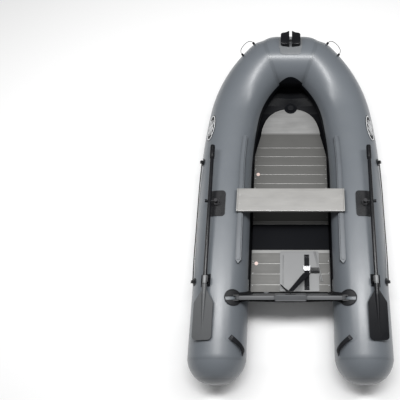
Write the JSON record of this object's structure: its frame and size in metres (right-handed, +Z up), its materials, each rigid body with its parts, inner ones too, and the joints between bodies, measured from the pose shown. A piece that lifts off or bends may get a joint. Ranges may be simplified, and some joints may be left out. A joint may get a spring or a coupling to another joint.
{
  "type": "inflatable dinghy",
  "caption": "Inflatable dinghy with U-shaped tubes, slatted floor, sliding bench seat, raked transom, two pinned oars and a bow fairlead.",
  "frame": {"origin": "centre of the boat's footprint on the ground, half way between the stern ends of the tubes and the bow", "axes": "+Y to the bow, +X to starboard, +Z up"},
  "size_m": [1.5364, 2.9324, 0.662],
  "materials": {
    "tube_fabric": "grey coated fabric, satin",
    "cap_rubber": "dark grey moulded rubber",
    "bottom_fabric": "dark coated fabric",
    "keel_fabric": "grey coated fabric",
    "plate_board": "pale grey painted plywood board",
    "slat_metal": "grey anodised extrusion, fine grooves",
    "strip_metal": "bright extrusion",
    "channel_plastic": "black plastic channel",
    "web_fabric": "black woven web",
    "valve_black": "black moulded valve",
    "cap_grey": "dark grey cap",
    "transom_board": "dark grey coated marine plywood",
    "pad_plastic": "grey moulded pad",
    "steel": "stainless fasteners",
    "holder_rubber": "black rubber",
    "seat_board": "pale grey painted plank",
    "rail_plastic": "grey moulded rail",
    "slider_plastic": "black glide",
    "rowlock_rubber": "dark grey moulded rubber",
    "swivel_metal": "stainless swivel",
    "knob_plastic": "black knob",
    "shaft_metal": "black coated tube",
    "grip_rubber": "black ribbed rubber",
    "blade_plastic": "black moulded plastic",
    "clip_plastic": "pale grey plastic",
    "patch_fabric": "grey glued patch",
    "black_patch": "black glued patch",
    "fairlead_plastic": "black moulded plastic",
    "roller_plastic": "pale plastic roller",
    "webbing": "black webbing",
    "rope": "black braided rope",
    "tray_plastic": "light grey moulded tray"
  },
  "bodies": {
    "hull": {"bow_baffle": "tube_fabric", "bow_fairlead": "fairlead_plastic", "bow_patch": "patch_fabric", "bow_plate": "plate_board", "bow_ropes": "rope", "bow_tube": "tube_fabric", "fairlead_pin": "steel", "floor_channels": "channel_plastic", "floor_strips": "strip_metal", "floor_web": "web_fabric", "front_slats": "slat_metal", "handle_patches": "black_patch", "handle_straps": "webbing", "hull_bottom": "bottom_fabric", "keel_tube": "keel_fabric", "keel_valve_body": "valve_black", "lifeline_eyes": "holder_rubber", "motor_pads": "pad_plastic", "oar_clips": "clip_plastic", "pad_bolts": "steel", "port_bow_tube": "tube_fabric", "port_lifeline": "rope", "port_side_tube": "tube_fabric", "port_valve_body": "valve_black", "rear_slats": "slat_metal", "rowlock_bases": "rowlock_rubber", "seat_rails": "rail_plastic", "starboard_bow_tube": "tube_fabric", "starboard_lifeline": "rope", "starboard_side_tube": "tube_fabric", "starboard_valve_body": "valve_black", "stern_caps": "cap_rubber", "stern_cones": "tube_fabric", "strap_buckle": "steel", "strap_eye": "fairlead_plastic", "tank_straps": "webbing", "tank_tray": "tray_plastic", "transom": "transom_board", "transom_holders": "holder_rubber"},
    "seat": {"bench_seat": "seat_board", "seat_sliders": "slider_plastic"},
    "starboard_rowlock": {"starboard_rowlock": "swivel_metal", "starboard_rowlock_nut": "knob_plastic"},
    "port_rowlock": {"port_rowlock": "swivel_metal", "port_rowlock_nut": "knob_plastic"},
    "starboard_oar": {"starboard_oar_shaft": "shaft_metal", "starboard_oar_grip": "grip_rubber", "starboard_oar_blade": "blade_plastic"},
    "port_oar": {"port_oar_shaft": "shaft_metal", "port_oar_grip": "grip_rubber", "port_oar_blade": "blade_plastic"},
    "drain_plug": {"drain_plug": "cap_grey"},
    "fairlead_roller": {"fairlead_roller": "roller_plastic"},
    "buckle_lever": {"buckle_lever": "steel"},
    "keel_valve_cap": {"keel_valve_cap": "cap_grey"},
    "keel_valve_plunger": {"keel_valve_plunger": "roller_plastic"},
    "starboard_valve_cap": {"starboard_valve_cap": "cap_grey"},
    "starboard_valve_plunger": {"starboard_valve_plunger": "roller_plastic"},
    "port_valve_cap": {"port_valve_cap": "cap_grey"},
    "port_valve_plunger": {"port_valve_plunger": "roller_plastic"}
  },
  "joints": [
    {"name": "seat_slide", "type": "slide", "parent": "hull", "child": "seat", "axis": [0, 1, 0], "range_m": [-0.36, 0.2]},
    {"name": "starboard_swivel", "type": "hinge", "parent": "hull", "child": "starboard_rowlock", "pos_m": [0.576, -0.1362, 0.48], "axis": [0, 0, 1], "range_deg": [0, 100]},
    {"name": "starboard_pitch", "type": "hinge", "parent": "starboard_rowlock", "child": "starboard_oar", "pos_m": [0.626, -0.1362, 0.48], "axis": [-1, 0, 0], "range_deg": [0, 4.5]},
    {"name": "port_swivel", "type": "hinge", "parent": "hull", "child": "port_rowlock", "pos_m": [-0.576, -0.1362, 0.48], "axis": [0, 0, -1], "range_deg": [0, 100]},
    {"name": "port_pitch", "type": "hinge", "parent": "port_rowlock", "child": "port_oar", "pos_m": [-0.626, -0.1362, 0.48], "axis": [-1, 0, 0], "range_deg": [0, 4.5]},
    {"name": "keel_valve_cap_turn", "type": "hinge", "parent": "hull", "child": "keel_valve_cap", "pos_m": [0, 0.9388, 0.112], "axis": [0, 0, 1], "range_deg": [0, 90]},
    {"name": "keel_valve_plunger_press", "type": "slide", "parent": "hull", "child": "keel_valve_plunger", "axis": [0, 0, -1], "range_m": [0, 0.003], "stiffness_N_per_m": 300},
    {"name": "starboard_valve_cap_turn", "type": "hinge", "parent": "hull", "child": "starboard_valve_cap", "pos_m": [0.34038, -0.0912, 0.29565], "axis": [-0.9272, 0, 0.3746], "range_deg": [0, 90]},
    {"name": "starboard_valve_plunger_press", "type": "slide", "parent": "hull", "child": "starboard_valve_plunger", "axis": [0.9272, 0, -0.3746], "range_m": [0, 0.003], "stiffness_N_per_m": 300},
    {"name": "port_valve_cap_turn", "type": "hinge", "parent": "hull", "child": "port_valve_cap", "pos_m": [-0.34038, -0.0912, 0.29565], "axis": [0.9272, 0, 0.3746], "range_deg": [0, 90]},
    {"name": "port_valve_plunger_press", "type": "slide", "parent": "hull", "child": "port_valve_plunger", "axis": [-0.9272, 0, -0.3746], "range_m": [0, 0.003], "stiffness_N_per_m": 300},
    {"name": "drain_turn", "type": "hinge", "parent": "hull", "child": "drain_plug", "pos_m": [-0.19, -0.78749, 0.16337], "axis": [0, 0.9593, 0.2823], "range_deg": [0, 90]},
    {"name": "roller_spin", "type": "hinge", "parent": "hull", "child": "fairlead_roller", "pos_m": [0, 1.3018, 0.63], "axis": [1, 0, 0], "continuous": true},
    {"name": "lever_open", "type": "hinge", "parent": "hull", "child": "buckle_lever", "pos_m": [0.13, -0.5652, 0.1447], "axis": [-1, 0, 0], "range_deg": [0, 100]}
  ]
}
